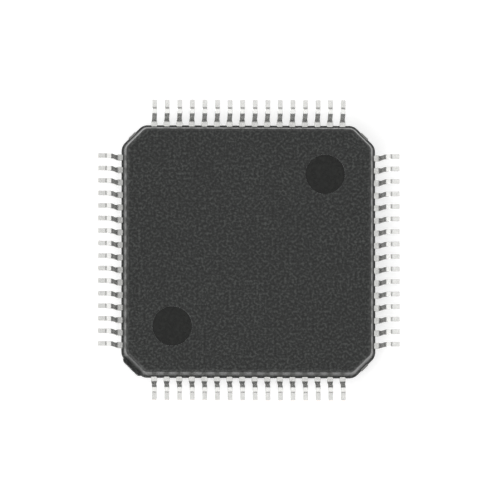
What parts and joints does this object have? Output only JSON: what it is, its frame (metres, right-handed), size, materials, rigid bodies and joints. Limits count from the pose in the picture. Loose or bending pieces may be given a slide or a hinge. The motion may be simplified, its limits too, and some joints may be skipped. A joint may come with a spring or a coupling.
{
  "type": "quad flat package chip",
  "caption": "Thin square black moulded chip package with gull-wing leads on all four sides, lying on its marking face with the solder feet up.",
  "frame": {"origin": "centre of the marking face, the package's own top, on which it lies", "axes": "+Z out of the underside, towards the solder feet; the corner of pin 1 is at -X -Y, and the pins run clockwise seen from +Z"},
  "size_m": [0.012, 0.012, 0.0015],
  "materials": {
    "moulding_compound": "spark-eroded fine grain, matt, with two smoother ejector marks",
    "tinned_lead": "matt tin plating on copper alloy strip, bright on the bends",
    "copper_strip": "rolled copper alloy strip, sealed in the moulding",
    "silver_epoxy": "cured silver-filled adhesive, sealed in the moulding",
    "silicon": "polished silicon, sealed in the moulding",
    "gold_wire": "drawn gold bond wire, sealed in the moulding"
  },
  "bodies": {
    "root": {"body": "moulding_compound", "die_pad": "copper_strip", "die_attach": "silver_epoxy", "die": "silicon", "leads_01_04": "tinned_lead", "leads_05_08": "tinned_lead", "leads_09_12": "tinned_lead", "leads_13_16": "tinned_lead", "leads_17_20": "tinned_lead", "leads_21_24": "tinned_lead", "leads_25_28": "tinned_lead", "leads_29_32": "tinned_lead", "leads_33_36": "tinned_lead", "leads_37_40": "tinned_lead", "leads_41_44": "tinned_lead", "leads_45_48": "tinned_lead", "leads_49_52": "tinned_lead", "leads_53_56": "tinned_lead", "leads_57_60": "tinned_lead", "leads_61_64": "tinned_lead", "wires_01_04": "gold_wire", "wires_05_08": "gold_wire", "wires_09_12": "gold_wire", "wires_13_16": "gold_wire", "wires_17_20": "gold_wire", "wires_21_24": "gold_wire", "wires_25_28": "gold_wire", "wires_29_32": "gold_wire", "wires_33_36": "gold_wire", "wires_37_40": "gold_wire", "wires_41_44": "gold_wire", "wires_45_48": "gold_wire", "wires_49_52": "gold_wire", "wires_53_56": "gold_wire", "wires_57_60": "gold_wire", "wires_61_64": "gold_wire"}
  },
  "joints": []
}
